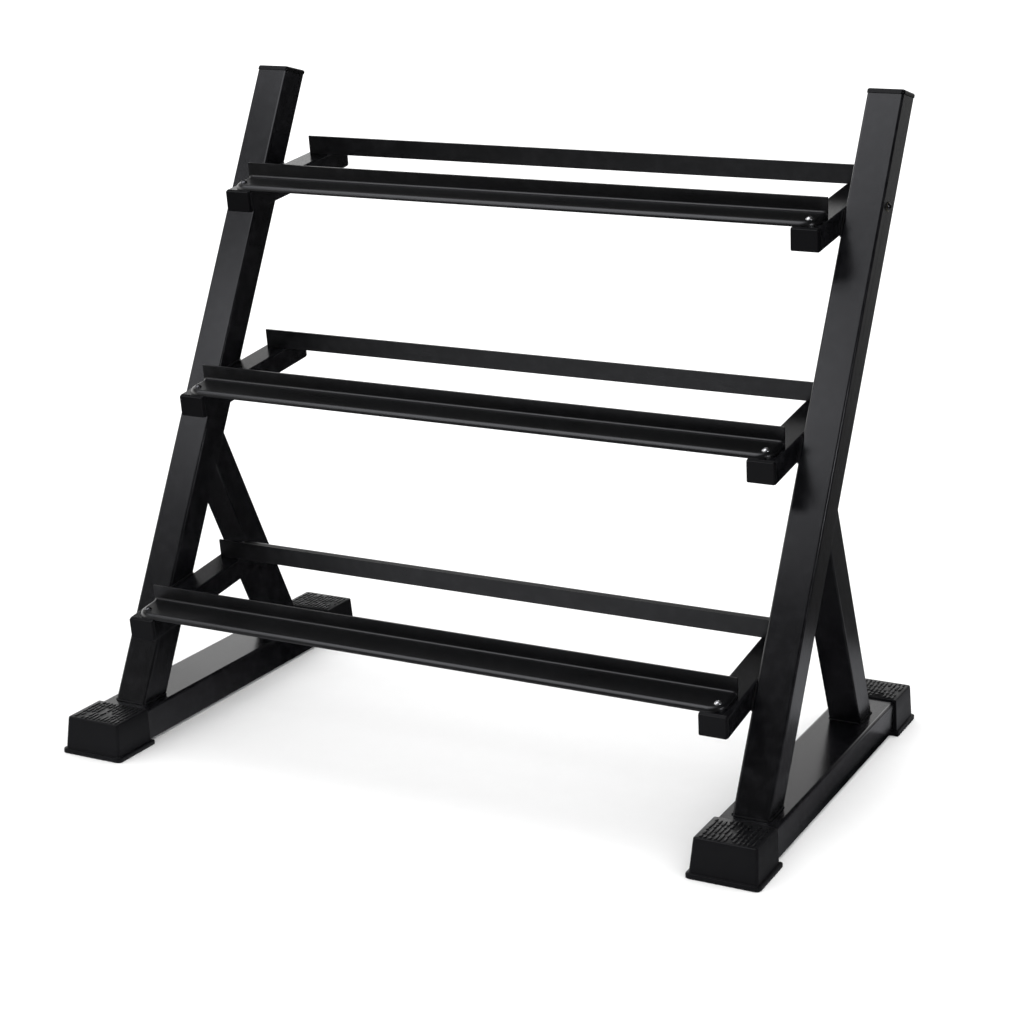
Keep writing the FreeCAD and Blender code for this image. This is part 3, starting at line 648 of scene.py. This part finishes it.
def card_material(name, bright, reach, wide):
    """A glow that fades from the card's middle to nothing at its reach, wide times further along X."""
    s = material(name)
    distance = s.node("VectorMath", Vector=s.position((wide, 1, 1)))
    distance.operation = "LENGTH"
    fade = s.node("MapRange", Value=distance.outputs["Value"], From_Min=0.4 * reach, From_Max=reach,
                  To_Min=bright, To_Max=0.0)
    fade.interpolation_type = "SMOOTHSTEP"
    glow = s.node("Emission", Color=CARD_GLOW, Strength=fade.outputs["Result"])
    output = next(node for node in s.tree.nodes if node.type == "OUTPUT_MATERIAL")
    s.tree.links.new(glow.outputs["Emission"], output.inputs["Surface"])
    return s.owner


def plane(name, size, place, surface, turn=(0, 0, 0)):
    """A flat sheet of the studio, turned by these degrees about X, Y and Z."""
    mesh = bpy.data.meshes.new(name)
    half_x, half_y = size[0] / 2, size[1] / 2
    corners = [(-half_x, -half_y, 0), (half_x, -half_y, 0), (half_x, half_y, 0), (-half_x, half_y, 0)]
    mesh.from_pydata(corners, [], [(0, 1, 2, 3)])
    mesh.materials.append(surface)
    obj = new_object(name, mesh)
    obj.location = place
    obj.rotation_euler = [math.radians(angle) for angle in turn]
    obj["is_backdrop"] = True
    return obj


floor = plane("studio_floor", (FLOOR_SIZE, FLOOR_SIZE), (0, 0, CAD_LOW.z), floor_material())
floor.visible_glossy = False
FLOOR_CARD = CAD_LOW.z + CARD_LIFT
# The cards are seen by reflections only, as softboxes and white boards around the rack.
CARDS = (  # name, size, place, turn, brightness, reach, how much wider than tall the glow is
    ("floor_card_front", (2.4, 2.4), (-0.1, -0.95, FLOOR_CARD), (0, 0, 0), 0.5, 1.2, 1),
    ("floor_card_right", (1.0, 1.0), (1.03, 0.1, FLOOR_CARD), (0, 0, 0), 0.5, 0.95, 1),
    ("front_left_softbox", (3.3, 1.3), (-1.5, -2.3, 2.44), (90, 0, 0), 2.7, 0.7, 2.6),
    ("overhead_softbox", (5.4, 5.4), (-1.1, -0.9, 3.2), (0, 0, 0), 2.0, 2.3, 1),
    ("right_strip", (0.34, 1.3), (2.84, -0.83, 1.5), (90, 0, 70), 11, 0.65, 0.5),
)
for card_name, card_size, card_place, card_turn, bright, reach, wide in CARDS:
    surface = card_material(card_name, bright, reach, wide)
    card = plane(card_name, card_size, card_place, surface, card_turn)
    card.visible_camera = False
    card.visible_diffuse = False
    card.visible_shadow = False

WHITE_LIGHT = 1.5
REFLECTED_LEVELS = (  # place from straight down (0) to straight up (1), grey
    (0.0, 0.0),
    (0.30, 0.05),
    (0.42, 0.8),
    (0.5, 1.0),
    (0.63, 1.1),
    (0.67, 0.7),
    (0.73, 0.1),
    (1.0, 0.08),
)


def studio_world():
    """Even white light; reflections see a brighter band near the horizon, at the back left."""
    world = bpy.data.worlds.new("studio")
    world.cycles.sampling_method = "NONE"
    s = Shader(world)
    way = s.node("SeparateXYZ", Vector=s.node("TexCoord").outputs["Generated"])
    level = s.ramp(s.math("MULTIPLY_ADD", way.outputs["Z"], 0.5, 0.5), *REFLECTED_LEVELS)
    backward = s.math("MULTIPLY", way.outputs["Y"], 0.44)
    back_left = s.math("MULTIPLY_ADD", way.outputs["X"], -0.9, backward)
    facing = s.node("MapRange", Value=back_left, From_Min=0.1, From_Max=0.7, To_Min=0.02, To_Max=1.5)
    reflected = s.math("MULTIPLY", level, facing.outputs["Result"])
    glossy = s.node("LightPath").outputs["Is Glossy Ray"]
    strength = s.node("MapRange", Value=glossy, To_Min=WHITE_LIGHT, To_Max=reflected)
    background = s.tree.nodes["Background"]
    s.feed(background, "Color", (1, 1, 1, 1))
    s.feed(background, "Strength", strength.outputs["Result"])
    return world


SCENE.world = studio_world()


# ---------------------------------------------------------------- the camera

CAMERA_PLACE = (1.3431, -2.6686, 1.1709)
AZIMUTH, ELEVATION, ROLL = math.radians(26.303), math.radians(16.664), math.radians(-0.097)

camera_data = bpy.data.cameras.new("photo_camera")
camera_data.sensor_width = 36
camera_data.lens = 77.51
camera_data.shift_x = 0.0003
camera_data.shift_y = 0.0392
camera_data.clip_end = 100
camera = bpy.data.objects.new("photo_camera", camera_data)
SCENE.collection.objects.link(camera)
SCENE.camera = camera
aim = Matrix.Rotation(AZIMUTH, 4, "Z") @ Matrix.Rotation(math.pi / 2 - ELEVATION, 4, "X")
camera.matrix_world = Matrix.Translation(CAMERA_PLACE) @ aim @ Matrix.Rotation(ROLL, 4, "Z")

SCENE.view_settings.view_transform = "Standard"
